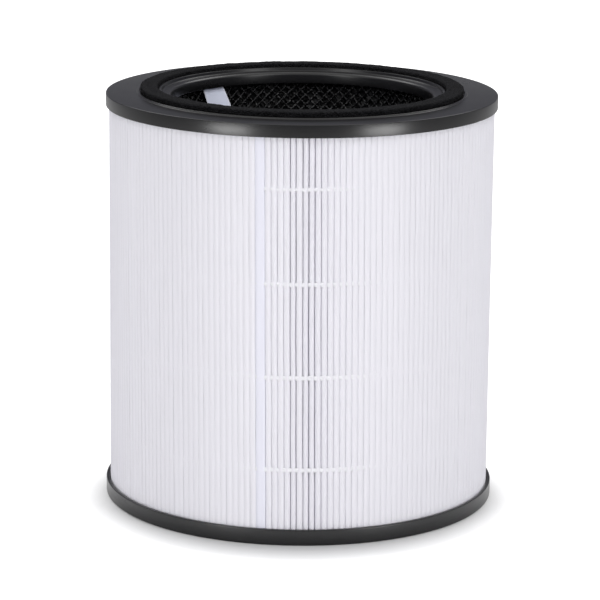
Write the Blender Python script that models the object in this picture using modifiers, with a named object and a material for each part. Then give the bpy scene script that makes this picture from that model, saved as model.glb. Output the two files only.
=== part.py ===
"""Round air purifier filter: a pleated white media pack around a carbon core, between two black end caps.

Metres, +Z up. The origin is the centre of the underside, on the surface that the filter stands on, and
-Y is its front. Run with: blender --background --python part.py
"""

import math

import bmesh
import bpy
from mathutils import Matrix, Vector

# Overall sizes. The height runs from the floor to the top cap's flat face, without the gasket.
FILTER_HEIGHT = 0.221
TOP_CAP_RADIUS = 0.105
GAP = 0.0003

# Round pieces: how many flat facets stand for a full turn, and how close points count as one.
CAP_STEPS = 60
BEAD_STEPS = 30
CORE_STEPS = 28
MERGE_DISTANCE = 0.00001

# Top end cap: skirt outside, flat face, gasket seat between two rims, ledge, and collar inside.
# A lap is how far a wall reaches along the core, past the glue.
SKIRT_WALL = 0.0011
SKIRT_LAP = 0.0017
PLATE_THICKNESS = 0.0018
CAP_EDGE_FILLET = 0.0008
OUTER_RIM_WIDTH = 0.0011
OUTER_RIM_HEIGHT = 0.0007
SEAT_WIDTH = 0.0104
INNER_RIM_WIDTH = 0.0013
INNER_RIM_HEIGHT = 0.0014
RIM_FILLET = 0.0004
RIM_DRAFT = 0.0005
LEDGE_WIDTH = 0.0061
LEDGE_DROP = 0.0007
LEDGE_FALL = 0.0004
COLLAR_WALL = 0.0014
COLLAR_LAP = 0.0014
COLLAR_FILLET = 0.0009

# Bottom end cap: a closed moulded tray with a raised centre panel and an upstand inside the core.
BASE_WALL = 0.0017
BASE_LAP = 0.0037
BASE_FLOOR = 0.0022
BASE_EDGE_FILLET = 0.0012
PANEL_INSET = 0.0025
PANEL_RISE = 0.0012
PANEL_THICKNESS = 0.002
PANEL_DRAFT = 0.001
UPSTAND_LAP = 0.0033

# Foam gasket on the seat.
GASKET_HEIGHT = 0.0039
GASKET_SIDE_GAP = 0.0003

# Glue that fills the channel of each cap, and that the pleats, the net and the carbon stand in.
GLUE_DEPTH = 0.002

# Pleated media: one sheet, folded into a ring and joined at a wide seam pleat.
PLEAT_COUNT = 200
PLEAT_DEPTH = 0.0247
TIP_CLEARANCE = 0.0004
SHEET_THICKNESS = 0.00045
TIP_WIDTH = 0.00075
FOLD_WIDTH = 0.0007
SEAM_WIDTH = 0.0031
SEAM_ANGLE = math.radians(-102.3)

# Hot-melt beads that run round the pleat tips and hold their spacing.
BEAD_COUNT = 4
LOWEST_BEAD_HEIGHT = 0.04
HIGHEST_BEAD_DROP = 0.0337
BEAD_WIDTH = 0.0024
BEAD_THICKNESS = 0.0005

# Core: diamond net inside, activated carbon around it, and a cloth sleeve that keeps the carbon in.
NET_THICKNESS = 0.0009
NET_DIAMONDS_ROUND = 12
NET_ROWS = 6
STRAND_WIDTH = 0.0032
CARBON_THICKNESS = 0.0036
SLEEVE_THICKNESS = 0.0005

# Pull ribbon, glued in behind the collar and hanging into the bore.
RIBBON_ANGLE = math.radians(134.0)
RIBBON_WIDTH = 0.015
RIBBON_LENGTH = 0.058
RIBBON_THICKNESS = 0.0004
RIBBON_LEAN = 0.011
RIBBON_LEAN_SHARE = 0.5
RIBBON_TWIST = math.radians(22.0)
RIBBON_ROWS = 12
RIBBON_COLUMNS = 4

# Colours (linear), roughness.
BLACK_PLASTIC = ((0.014, 0.014, 0.015), 0.36)
BLACK_FOAM = ((0.008, 0.008, 0.008), 0.95)
BLACK_NET = ((0.010, 0.010, 0.011), 0.40)
CARBON = ((0.006, 0.006, 0.006), 0.80)
WHITE_MEDIA = ((0.78, 0.78, 0.83), 0.90)
WHITE_CLOTH = ((0.70, 0.70, 0.72), 0.95)
HOT_MELT = ((0.82, 0.82, 0.84), 0.45)
POTTING_GLUE = ((0.60, 0.58, 0.52), 0.40)
RIBBON_WHITE = ((0.60, 0.62, 0.76), 0.70)


def corner_radius(flat, steps):
    """Radius of a faceted ring's corners when its flats lie at the given radius."""
    return flat / math.cos(math.pi / steps)


def flat_radius(corner, steps):
    """Radius at which a faceted ring's flats lie when its corners lie at the given radius."""
    return corner * math.cos(math.pi / steps)


def cap_inside():
    """Inner corner radius of both caps' outer walls."""
    return TOP_CAP_RADIUS - SKIRT_WALL


def tip_radius():
    """Outer radius of the pleat tips, clear of the flats of the caps' outer walls."""
    return flat_radius(cap_inside(), CAP_STEPS) - TIP_CLEARANCE


def sleeve_radius():
    """Outer corner radius of the cloth sleeve, which the inner folds of the pleats stand on."""
    return tip_radius() - PLEAT_DEPTH - GAP


def carbon_radius():
    """Outer corner radius of the carbon, inside the sleeve."""
    return sleeve_radius() - SLEEVE_THICKNESS - GAP


def net_radius():
    """Inner corner radius of the net, whose outer corners clear the carbon's inner flats."""
    return flat_radius(carbon_radius() - CARBON_THICKNESS, CORE_STEPS) - GAP - NET_THICKNESS


def ribbon_radius():
    """Radius of the ribbon's middle plane where it is tucked between the net's flats and the collar."""
    return flat_radius(net_radius(), 2 * NET_DIAMONDS_ROUND) - GAP - RIBBON_THICKNESS / 2


def channel_bore():
    """Outer radius of the collar and of the upstand, around which the core stands."""
    return ribbon_radius() - RIBBON_THICKNESS / 2 - GAP


def bore_radius():
    """Inner radius of the collar and of the upstand."""
    return channel_bore() - COLLAR_WALL


def seat_radii():
    """Inner and outer radius of the gasket seat, which lies between the two rims outside the ledge."""
    inner = bore_radius() + LEDGE_WIDTH + INNER_RIM_WIDTH
    return inner, inner + SEAT_WIDTH


def core_bottom():
    """Height at which the pleats, the net and the carbon start, on the glue in the bottom cap."""
    return BASE_FLOOR + GAP + GLUE_DEPTH + GAP


def plate_underside():
    """Height of the top cap's underside at its lowest, over the glue."""
    return FILTER_HEIGHT - LEDGE_DROP - PLATE_THICKNESS


def core_top():
    """Height at which the pleats, the net and the carbon end, under the glue in the top cap."""
    return plate_underside() - GAP - GLUE_DEPTH - GAP


def collar_bottom():
    """Height of the collar's lower edge, which laps over the top of the net."""
    return core_top() - COLLAR_LAP


def material(name, finish):
    """A Principled BSDF with the given colour and roughness."""
    colour, roughness = finish
    made = bpy.data.materials.new(name)
    made.use_nodes = True
    shader = made.node_tree.nodes["Principled BSDF"]
    shader.inputs["Base Color"].default_value = (*colour, 1.0)
    shader.inputs["Roughness"].default_value = roughness
    return made


def add_piece(name, mesh, finish, sharp_angle=35.0):
    """Put a mesh into the scene as a named piece, smooth except at edges sharper than the angle."""
    mesh.shade_smooth()
    mesh.set_sharp_from_angle(angle=math.radians(sharp_angle))
    piece = bpy.data.objects.new(name, mesh)
    mesh.materials.append(material(name, finish))
    bpy.data.collections["air_purifier_filter"].objects.link(piece)
    piece.parent = bpy.data.objects["filter_origin"]
    return piece


def rounded(corners, arc_steps=2):
    """Outline from (radius, height, fillet) corners, with an arc of arc_steps chords at each fillet."""
    outline = []
    count = len(corners)
    for index, (radius, height, fillet) in enumerate(corners):
        here = Vector((radius, height))
        if fillet == 0.0:
            outline.append(here)
            continue
        before = Vector(corners[index - 1][:2]) - here
        after = Vector(corners[(index + 1) % count][:2]) - here
        half_angle = before.angle(after) / 2
        cut = fillet / math.tan(half_angle)
        bisector = (before.normalized() + after.normalized()).normalized()
        centre = here + bisector * fillet / math.sin(half_angle)
        first = here + before.normalized() * cut - centre
        last = here + after.normalized() * cut - centre
        sweep = first.angle_signed(last)
        for step in range(arc_steps + 1):
            outline.append(centre + Matrix.Rotation(-sweep * step / arc_steps, 2) @ first)
    return outline


def turned(name, outline, finish, steps, closed=True):
    """Turn an outline of (radius, height) points about the Z axis with a Screw modifier."""
    vertices = [(point[0], 0.0, point[1]) for point in outline]
    edges = [(index, index + 1) for index in range(len(outline) - 1)]
    if closed:
        edges.append((len(outline) - 1, 0))
    mesh = bpy.data.meshes.new(name)
    mesh.from_pydata(vertices, edges, [])
    piece = add_piece(name, mesh, finish)
    screw = piece.modifiers.new("Turn", "SCREW")
    screw.axis = "Z"
    screw.angle = 2 * math.pi
    screw.steps = steps
    screw.render_steps = steps
    screw.use_merge_vertices = True
    screw.merge_threshold = MERGE_DISTANCE
    screw.use_smooth_shade = True
    return piece


def turned_ring(name, inner, outer, low, high, finish, steps):
    """A plain ring with a rectangular section."""
    outline = [(outer, high), (outer, low), (inner, low), (inner, high)]
    return turned(name, outline, finish, steps)


def top_end_cap():
    """Moulded ring with a skirt outside, a gasket seat between two rims, a ledge and a collar."""
    top = FILTER_HEIGHT
    skirt_bottom = core_top() - SKIRT_LAP
    seat_inner, seat_outer = seat_radii()
    outer_rim = seat_outer + OUTER_RIM_WIDTH
    inner_rim = seat_inner - INNER_RIM_WIDTH
    ledge = top - LEDGE_DROP
    corners = [
        (TOP_CAP_RADIUS, top, CAP_EDGE_FILLET),
        (TOP_CAP_RADIUS, skirt_bottom, 0.0),
        (cap_inside(), skirt_bottom, 0.0),
        (cap_inside(), top - PLATE_THICKNESS, 0.0),
        (channel_bore(), plate_underside(), 0.0),
        (channel_bore(), collar_bottom(), 0.0),
        (bore_radius(), collar_bottom(), 0.0),
        (bore_radius(), ledge, COLLAR_FILLET),
        (inner_rim - RIM_DRAFT, ledge + LEDGE_FALL, 0.0),
        (inner_rim, top + INNER_RIM_HEIGHT, 0.0),
        (seat_inner - RIM_FILLET, top + INNER_RIM_HEIGHT, 0.0),
        (seat_inner, top + INNER_RIM_HEIGHT - RIM_FILLET, 0.0),
        (seat_inner, top, 0.0),
        (seat_outer, top, 0.0),
        (seat_outer, top + OUTER_RIM_HEIGHT, 0.0),
        (outer_rim, top + OUTER_RIM_HEIGHT, 0.0),
        (outer_rim + RIM_DRAFT, top, 0.0),
    ]
    return turned("top_end_cap", rounded(corners), BLACK_PLASTIC, CAP_STEPS)


def bottom_end_cap():
    """Closed moulded tray: outer wall, glue channel, upstand, and a centre panel raised off the floor."""
    base_radius = cap_inside() + BASE_WALL
    wall_top = core_bottom() + BASE_LAP
    upstand_top = core_bottom() + UPSTAND_LAP
    panel_radius = bore_radius() - PANEL_INSET
    panel_top = PANEL_RISE + PANEL_THICKNESS
    outline = rounded([
        (0.0, panel_top, 0.0),
        (bore_radius(), panel_top, 0.0),
        (bore_radius(), upstand_top, 0.0),
        (channel_bore(), upstand_top, 0.0),
        (channel_bore(), BASE_FLOOR, 0.0),
        (cap_inside(), BASE_FLOOR, 0.0),
        (cap_inside(), wall_top, 0.0),
        (base_radius, wall_top, 0.0),
        (base_radius, 0.0, BASE_EDGE_FILLET),
        (panel_radius + PANEL_DRAFT, 0.0, 0.0),
        (panel_radius, PANEL_RISE, 0.0),
        (0.0, PANEL_RISE, 0.0),
    ])
    return turned("bottom_end_cap", outline, BLACK_PLASTIC, CAP_STEPS, closed=False)


def seal_gasket():
    """Foam ring that lies on the seat between the two rims."""
    seat_inner, seat_outer = seat_radii()
    inner = seat_inner + GASKET_SIDE_GAP
    outer = seat_outer - GASKET_SIDE_GAP
    low = FILTER_HEIGHT + GAP
    high = FILTER_HEIGHT + GASKET_HEIGHT
    return turned_ring("seal_gasket", inner, outer, low, high, BLACK_FOAM, CAP_STEPS)


def glue_rings():
    """Potting glue in the channel of each cap."""
    inner = corner_radius(channel_bore() + GAP, CORE_STEPS)
    outer = flat_radius(cap_inside(), CAP_STEPS) - GAP
    for name, low in (("top_glue", core_top() + GAP), ("bottom_glue", BASE_FLOOR + GAP)):
        turned_ring(name, inner, outer, low, low + GLUE_DEPTH, POTTING_GLUE, CORE_STEPS)


def pleat_midline():
    """Closed zigzag through the middle of the sheet, two points at each tip and two at each fold.

    All grooves have the same angle, which is what the tips leave over of the full turn.
    """
    tip_middle = tip_radius() - SHEET_THICKNESS / 2
    fold_radius = tip_radius() - PLEAT_DEPTH + SHEET_THICKNESS / 2
    tip_widths = [SEAM_WIDTH] + [TIP_WIDTH] * (PLEAT_COUNT - 1)
    groove = (2 * math.pi - sum(tip_widths) / tip_middle) / PLEAT_COUNT
    fold_half = FOLD_WIDTH / fold_radius / 2
    angle = SEAM_ANGLE - SEAM_WIDTH / tip_middle / 2
    midline = []
    for width in tip_widths:
        tip_end = angle + width / tip_middle
        fold_middle = tip_end + groove / 2
        midline.append((tip_middle, angle))
        midline.append((tip_middle, tip_end))
        midline.append((fold_radius, fold_middle - fold_half))
        midline.append((fold_radius, fold_middle + fold_half))
        angle = tip_end + groove
    return [(radius * math.cos(turn), radius * math.sin(turn)) for radius, turn in midline]


def pleated_media():
    """The folded sheet: its midline drawn up into an open wall, then given the sheet's thickness."""
    shape = bmesh.new()
    bottom = [shape.verts.new((x, y, core_bottom())) for x, y in pleat_midline()]
    fold_lines = [shape.edges.new((bottom[index - 1], bottom[index])) for index in range(len(bottom))]
    drawn = bmesh.ops.extrude_edge_only(shape, edges=fold_lines)
    top = [item for item in drawn["geom"] if isinstance(item, bmesh.types.BMVert)]
    bmesh.ops.translate(shape, verts=top, vec=(0.0, 0.0, core_top() - core_bottom()))
    mesh = bpy.data.meshes.new("pleated_media")
    shape.to_mesh(mesh)
    shape.free()
    piece = add_piece("pleated_media", mesh, WHITE_MEDIA)
    sheet = piece.modifiers.new("Sheet", "SOLIDIFY")
    sheet.thickness = SHEET_THICKNESS
    sheet.offset = 0.0
    sheet.use_even_offset = True
    return piece


def glue_beads():
    """Flat hot-melt rings round the pleat tips, thinner at their edges and evenly spaced."""
    inner = corner_radius(tip_radius() + GAP, BEAD_STEPS)
    outer = inner + BEAD_THICKNESS
    spacing = (FILTER_HEIGHT - HIGHEST_BEAD_DROP - LOWEST_BEAD_HEIGHT) / (BEAD_COUNT - 1)
    for index in range(BEAD_COUNT):
        middle = LOWEST_BEAD_HEIGHT + index * spacing
        outline = [
            (outer, middle + BEAD_WIDTH / 4),
            (outer, middle - BEAD_WIDTH / 4),
            (inner, middle - BEAD_WIDTH / 2),
            (inner, middle + BEAD_WIDTH / 2),
        ]
        turned(f"glue_bead_{index + 1}", outline, HOT_MELT, BEAD_STEPS)


def inner_net():
    """Diamond net drawn flat, cut open between its strands, rolled round the bore and thickened."""
    columns = 2 * NET_DIAMONDS_ROUND
    column = 2 * math.pi / columns
    row = (core_top() - core_bottom()) / NET_ROWS
    radius = net_radius()
    shape = bmesh.new()
    nodes = {}

    def node(across, up):
        key = (across, up)
        if key not in nodes:
            nodes[key] = shape.verts.new((across * column * radius, 0.0, core_bottom() + up * row))
        return nodes[key]

    for up in range(NET_ROWS + 1):
        for across in range(up % 2, columns, 2):
            corners = [(across - 1, up), (across, up - 1), (across + 1, up), (across, up + 1)]
            if up == 0:
                corners[1] = (across, up)
            if up == NET_ROWS:
                corners[3] = (across, up)
            shape.faces.new([node(*corner) for corner in corners])
    shape.normal_update()
    cells = shape.faces[:]
    bmesh.ops.inset_individual(shape, faces=cells, thickness=STRAND_WIDTH / 2, use_even_offset=True)
    bmesh.ops.delete(shape, geom=cells, context="FACES")
    for vertex in shape.verts:
        turn = vertex.co.x / radius
        vertex.co.x = radius * math.cos(turn)
        vertex.co.y = radius * math.sin(turn)
    bmesh.ops.remove_doubles(shape, verts=shape.verts[:], dist=MERGE_DISTANCE)
    mesh = bpy.data.meshes.new("inner_net")
    shape.to_mesh(mesh)
    shape.free()
    piece = add_piece("inner_net", mesh, BLACK_NET)
    wall = piece.modifiers.new("Strands", "SOLIDIFY")
    wall.thickness = NET_THICKNESS
    wall.offset = 1.0
    return piece


def carbon_core():
    """Activated carbon around the net, and the cloth sleeve that holds it."""
    carbon = carbon_radius()
    sleeve = sleeve_radius()
    low = core_bottom()
    high = core_top()
    turned_ring("carbon_bed", carbon - CARBON_THICKNESS, carbon, low, high, CARBON, CORE_STEPS)
    turned_ring("carbon_sleeve", sleeve - SLEEVE_THICKNESS, sleeve, low, high, WHITE_CLOTH, CORE_STEPS)


def ribbon_point(along, across):
    """Point of the ribbon's middle plane; along runs 0 to 1 down its length, across -1 to 1.

    It is tucked in flat against the collar down to the collar's lower edge. Below that it leans towards
    the axis on a smooth step, and turns about its own middle, while its cross curve goes flat.
    """
    tuck = COLLAR_LAP + RIBBON_THICKNESS
    hanging = max(0.0, along * RIBBON_LENGTH - tuck) / (RIBBON_LENGTH - tuck)
    lean = min(1.0, hanging / RIBBON_LEAN_SHARE)
    blend = lean * lean * (3 - 2 * lean)
    side = across * RIBBON_WIDTH / 2
    inward = side * side / (2 * ribbon_radius()) * (1 - blend)
    twist = RIBBON_TWIST * blend
    radial = ribbon_radius() - RIBBON_LEAN * blend - inward + side * math.sin(twist)
    tangent = side * math.cos(twist)
    x = radial * math.cos(RIBBON_ANGLE) - tangent * math.sin(RIBBON_ANGLE)
    y = radial * math.sin(RIBBON_ANGLE) + tangent * math.cos(RIBBON_ANGLE)
    return (x, y, core_top() - along * RIBBON_LENGTH)


def pull_ribbon():
    """Woven ribbon that hangs from behind the collar: a grid of its middle plane, given its thickness."""
    vertices = []
    for row in range(RIBBON_ROWS + 1):
        for column in range(RIBBON_COLUMNS + 1):
            vertices.append(ribbon_point(row / RIBBON_ROWS, 2 * column / RIBBON_COLUMNS - 1))
    wide = RIBBON_COLUMNS + 1
    faces = []
    for row in range(RIBBON_ROWS):
        for column in range(RIBBON_COLUMNS):
            first = row * wide + column
            faces.append((first, first + wide, first + wide + 1, first + 1))
    mesh = bpy.data.meshes.new("pull_ribbon")
    mesh.from_pydata(vertices, [], faces)
    piece = add_piece("pull_ribbon", mesh, RIBBON_WHITE)
    cloth = piece.modifiers.new("Cloth", "SOLIDIFY")
    cloth.thickness = RIBBON_THICKNESS
    cloth.offset = 0.0
    return piece


def main():
    for leftover in list(bpy.data.objects):
        bpy.data.objects.remove(leftover, do_unlink=True)
    parts = bpy.data.collections.new("air_purifier_filter")
    bpy.context.scene.collection.children.link(parts)
    parts.objects.link(bpy.data.objects.new("filter_origin", None))
    bottom_end_cap()
    top_end_cap()
    seal_gasket()
    glue_rings()
    pleated_media()
    glue_beads()
    inner_net()
    carbon_core()
    pull_ribbon()


main()
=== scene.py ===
"""The finished look of a round air purifier filter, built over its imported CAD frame.

Each piece is a surface worked out as whole numpy arrays: a turned outline, a folded sheet, a band, a net of
strands, a bed of grains or a bent ribbon. Sizes are in metres, +Z is up, and the front faces -Y.
"""

import math
from types import SimpleNamespace

import bpy
import numpy as np
from mathutils import Matrix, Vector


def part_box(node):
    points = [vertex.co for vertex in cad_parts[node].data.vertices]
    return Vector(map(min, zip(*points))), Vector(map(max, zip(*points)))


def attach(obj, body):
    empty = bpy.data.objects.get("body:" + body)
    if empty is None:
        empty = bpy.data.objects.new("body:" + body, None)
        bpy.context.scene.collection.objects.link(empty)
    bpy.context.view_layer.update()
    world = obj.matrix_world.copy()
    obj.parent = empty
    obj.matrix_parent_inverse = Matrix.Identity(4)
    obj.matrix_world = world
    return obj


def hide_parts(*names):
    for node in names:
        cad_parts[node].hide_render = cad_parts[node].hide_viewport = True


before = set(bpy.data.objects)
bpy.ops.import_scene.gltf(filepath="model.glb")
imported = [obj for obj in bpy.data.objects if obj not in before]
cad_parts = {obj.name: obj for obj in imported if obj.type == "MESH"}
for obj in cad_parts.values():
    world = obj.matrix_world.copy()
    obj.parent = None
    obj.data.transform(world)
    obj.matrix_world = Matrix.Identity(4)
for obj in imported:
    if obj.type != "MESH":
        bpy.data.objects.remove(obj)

bl_info = {
    "name": "Air purifier filter",
    "version": (1, 0, 0),
    "blender": (4, 5, 0),
    "location": "3D View > Sidebar > Filter",
    "description": "Finished pieces of a round filter: caps, gasket, pleats, beads, core and ribbon",
    "category": "Object",
}


def extent(node):
    """Outer radius, lowest and highest point of a CAD node, in metres."""
    low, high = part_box(node)
    return SimpleNamespace(radius=high.x, bottom=low.z, top=high.z)


TOP_CAP = extent("top_end_cap")
BASE_CAP = extent("bottom_end_cap")
GASKET = extent("seal_gasket")
MEDIA = extent("pleated_media")
NET = extent("inner_net")
CARBON = extent("carbon_bed")
BEADS = [extent(f"glue_bead_{place}") for place in range(1, 5)]
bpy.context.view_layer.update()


# Properties


def setting(kind, **fixed):
    """A maker of settings of one kind, which takes a name, a default and a description."""

    def make(name, default, description):
        return kind(name=name, default=default, description=description, **fixed)

    return make


length = setting(bpy.props.FloatProperty, unit="LENGTH", precision=5)
share = setting(bpy.props.FloatProperty, min=0.0, max=1.0, subtype="FACTOR")
amount = setting(bpy.props.FloatProperty, min=0.0)
number = setting(bpy.props.IntProperty, min=1)
colour = setting(bpy.props.FloatVectorProperty, min=0.0, max=1.0, subtype="COLOR")


def angle(name, degrees, description):
    """An angle, given in degrees."""
    return setting(bpy.props.FloatProperty, subtype="ANGLE")(name, math.radians(degrees), description)


class CapSettings(bpy.types.PropertyGroup):
    """Sizes and finish of the two moulded end caps."""

    steps: number("Steps", 320, "Flats round each turned cap")
    radius: length("Radius", TOP_CAP.radius, "Outer radius of the top cap")
    base_radius: length("Base radius", BASE_CAP.radius, "Outer radius of the bottom cap")
    face: length("Face", GASKET.bottom - 0.0003, "Height of the top cap's face")
    skirt_bottom: length("Skirt bottom", TOP_CAP.bottom, "Height of the skirt's lower edge")
    wall: length("Wall", 0.0011, "Thickness of the skirt")
    plate: length("Plate", 0.0018, "Thickness of the face")
    bore: length("Bore", 0.06927, "Inner radius of the collar")
    channel: length("Channel", 0.07067, "Outer radius of the collar")
    seat_inner: length("Seat inside", 0.07667, "Inner radius of the gasket seat")
    seat_outer: length("Seat outside", 0.08707, "Outer radius of the gasket seat")
    base_wall_top: length("Base wall", BASE_CAP.top, "Height of the bottom cap's wall")
    base_floor: length("Base floor", 0.0022, "Thickness of the bottom cap's floor")
    plastic: colour("Plastic", (0.0034, 0.0033, 0.0038), "Colour of the black plastic")
    roughness: share("Roughness", 0.29, "Roughness of the satin plastic")
    specular: share("Specular", 0.50, "Strength of the plastic's reflection at a right angle")


class GasketSettings(bpy.types.PropertyGroup):
    """Sizes and finish of the foam ring on the top cap."""

    steps: number("Steps", 1100, "Points round the ring")
    inner: length("Inside", 0.07697, "Inner radius of the ring")
    outer: length("Outside", 0.08677, "Outer radius of the ring")
    crown: length("Crown", 0.0005, "How far the top sinks from its middle to its edges")
    fuzz: length("Fuzz", 0.00042, "How far the foam's skin goes in and out")
    seed: number("Seed", 5, "Seed of the foam's lumps")
    foam: colour("Foam", (0.0036, 0.0036, 0.0040), "Colour of the foam")


class MediaSettings(bpy.types.PropertyGroup):
    """Sizes and finish of the pleated sheet."""

    pleats: number("Pleats", 200, "Pleats round the ring, the seam pleat included")
    rows: number("Rows", 38, "Rows of points up the sheet")
    sheet: length("Sheet", 0.00042, "Thickness of the sheet")
    depth: length("Depth", 0.0245, "Depth of a pleat")
    seam_width: length("Seam width", 0.0026, "Width of the flat seam pleat")
    tip_width: length("Tip width", 0.00075, "Width of a plain pleat's tip")
    seam_angle: angle("Seam angle", -101.9, "Where the seam pleat stands, from +X")
    lean: length("Lean", 0.0011, "How far the folds swing sideways towards the bottom")
    turn: angle("Turn", 1.2, "How far the ring of pleats is turned between its top and its bottom")
    wander: length("Wander", 0.00026, "How far neighbouring tips wander together between two beads")
    wobble: length("Wobble", 0.00012, "How far each tip wobbles by itself")
    unevenness: length("Unevenness", 0.0002, "How much lower some tips stand than others")
    gape: share("Gape", 0.03, "Share of the pitch by which the grooves gape at most")
    gape_width: angle("Gape width", 11.5, "Half of the angle in which they gape")
    seed: number("Seed", 7, "Seed of the tips' wander")
    paper: colour("Paper", (0.815, 0.805, 0.85), "Colour of the filter sheet")
    seam: colour("Seam", (0.80, 0.80, 0.88), "Colour of the flat seam pleat")


class BeadSettings(bpy.types.PropertyGroup):
    """Sizes and finish of the hot-melt lines that keep the pleats apart."""

    half_height: length("Half height", 0.00125, "Half of a bead's height")
    under_tip: length("Under tip", 0.00026, "How far a bead lies under the tips")
    in_groove: length("In groove", 0.00050, "How far its face sinks between the tips")
    tooth: length("Tooth", 0.0024, "How deep it reaches between the tips")
    drift: length("Drift", 0.00018, "How far a bead drifts up and down")
    seed: number("Seed", 3, "Seed of the beads' drift and swell")
    glue: colour("Glue", (0.80, 0.80, 0.83), "Colour of the hot-melt")


class CoreSettings(bpy.types.PropertyGroup):
    """Sizes and finish of the net on the bore and of the carbon behind it."""

    strands: number("Strands", 84, "Strands of the net that lean each way")
    strand_width: length("Strand width", 0.0012, "Width of a strand")
    strand_depth: length("Strand depth", 0.00060, "Thickness of a strand")
    grain: length("Grain", 0.0029, "Mean size of a carbon grain")
    seed: number("Seed", 11, "Seed of the grains")
    net: colour("Net", (0.004, 0.004, 0.0045), "Colour of the net")
    carbon: colour("Carbon", (0.006, 0.006, 0.0065), "Colour of the carbon")
    cloth: colour("Cloth", (0.62, 0.62, 0.66), "Colour of the sleeve round the carbon")
    potting: colour("Potting", (0.60, 0.58, 0.52), "Colour of the glue in the caps")


class RibbonSettings(bpy.types.PropertyGroup):
    """Sizes and finish of the pull ribbon."""

    angle: angle("Angle", 134.0, "Where the ribbon hangs, from +X")
    width: length("Width", 0.015, "Width of the ribbon")
    length: length("Length", 0.058, "Flat length of the ribbon")
    thickness: length("Thickness", 0.0004, "Thickness of the ribbon")
    radius: length("Radius", 0.07117, "Radius at which it is tucked behind the collar")
    tuck: length("Tuck", 0.0018, "Length that the collar holds")
    lean: angle("Lean", 33.0, "How steeply it leans into the bore under the collar")
    twist: angle("Twist", 22.0, "How far it turns down its length")
    weave: colour("Weave", (0.79, 0.83, 1.0), "Colour of the weave")
    selvedge: colour("Selvedge", (0.86, 0.88, 0.98), "Colour of its edges")


class StageSettings(bpy.types.PropertyGroup):
    """The floor, the lamps and the camera."""

    distance: length("Distance", 1.575, "From the axis to the camera")
    height: length("Height", 0.4757, "Camera height")
    pitch: angle("Pitch", 13.2, "How far the camera looks down")
    roll: angle("Roll", 0.58, "How far the camera is rolled")
    lens: amount("Lens", 178.2, "Focal length in millimetres, on a 36 mm sensor")
    horizon: colour("Horizon", (0.17, 0.17, 0.20), "Colour of the light from low all round")
    zenith: colour("Zenith", (1.0, 1.0, 1.0), "Colour of the light from above")
    floor: colour("Floor", (0.60, 0.60, 0.60), "Colour of the floor")
    near_glow: amount("Near glow", 0.92, "Glow of the floor by the filter")
    far_glow: amount("Far glow", 1.0, "Glow of the floor further off, where the lamps don't reach")
    mirrored: share("Mirrored", 0.10, "Share of the far glow that reflections show")
    low_lamps: amount("Low lamps", 12.6, "Radiance of the two low softboxes beside the camera")
    high_lamps: amount("High lamps", 2.6, "Radiance of the two high softboxes above them")
    rear_lamps: amount("Rear lamps", 2.4, "Radiance of the two high softboxes behind the filter")


class FilterSettings(bpy.types.PropertyGroup):
    """Everything that a user of the add-on would change."""

    caps: bpy.props.PointerProperty(type=CapSettings)
    gasket: bpy.props.PointerProperty(type=GasketSettings)
    media: bpy.props.PointerProperty(type=MediaSettings)
    beads: bpy.props.PointerProperty(type=BeadSettings)
    core: bpy.props.PointerProperty(type=CoreSettings)
    ribbon: bpy.props.PointerProperty(type=RibbonSettings)
    stage: bpy.props.PointerProperty(type=StageSettings)


# Shapes


def add_surface(name, points, close_rows=True, end_faces=False, sharp_degrees=40.0):
    """A piece from grids of points, of the shape (grids, rows, columns, 3).

    A face joins each point with the next in its row and the two beside them in the next row. Each row
    closes on itself. close_rows joins the last row of a grid to its first one, and end_faces closes each
    of the two with one face. The faces are turned round if the volume in them comes out negative.
    """
    grids, rows, columns, _ = points.shape
    index = np.arange(grids * rows * columns).reshape(grids, rows, columns)
    beside, above = np.roll(index, -1, axis=2), np.roll(index, -1, axis=1)
    quads = np.stack((index, beside, np.roll(above, -1, axis=2), above), axis=-1)
    quads = quads[:, : rows if close_rows else -1].reshape(-1, 4)
    centred = (points - points.mean(axis=(1, 2), keepdims=True)).reshape(-1, 3)
    a, b, c, d = (centred[quads[:, corner]] for corner in range(4))
    volume = np.einsum("ij,ij->", a, np.cross(b, c)) + np.einsum("ij,ij->", a, np.cross(c, d))
    faces = quads.tolist()
    if end_faces:
        faces += index[:, 0, ::-1].tolist() + index[:, -1].tolist()
    if volume < 0.0:
        faces = [face[::-1] for face in faces]
    mesh = bpy.data.meshes.new(name)
    mesh.from_pydata(points.reshape(-1, 3), [], faces)
    mesh.shade_smooth()
    mesh.set_sharp_from_angle(angle=math.radians(sharp_degrees))
    piece = bpy.data.objects.new(name, mesh)
    bpy.context.scene.collection.objects.link(piece)
    return piece


def finish_piece(piece, paint, slot, *nodes):
    """Paint a piece, put it on the body and let it stand for its CAD nodes."""
    piece.data.materials.append(paint)
    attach(piece, "root")
    if nodes:
        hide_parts(*nodes)
    return piece


def rounded(corners, arc_steps=5):
    """Outline from (radius, height, fillet) corners.

    Each fillet is an arc about the point on the corner's bisector that lies one fillet from both sides.
    """
    outline = []
    for place, (radius, height, fillet) in enumerate(corners):
        here = np.array((radius, height))
        if fillet == 0.0:
            outline.append(here)
            continue
        before = np.array(corners[place - 1][:2]) - here
        after = np.array(corners[(place + 1) % len(corners)][:2]) - here
        before, after = before / np.linalg.norm(before), after / np.linalg.norm(after)
        half = math.acos(np.clip(before @ after, -1.0, 1.0)) / 2
        middle = (before + after) / np.linalg.norm(before + after)
        centre = here + middle * fillet / math.sin(half)
        first = here + before * fillet / math.tan(half) - centre
        last = here + after * fillet / math.tan(half) - centre
        sweep = math.atan2(first[0] * last[1] - first[1] * last[0], first @ last)
        turn = sweep * np.linspace(0.0, 1.0, arc_steps + 1)[:, None]
        quarter_on = np.array((-first[1], first[0]))
        outline.extend(centre + (first * np.cos(turn) + quarter_on * np.sin(turn)))
    return np.array(outline)


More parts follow.
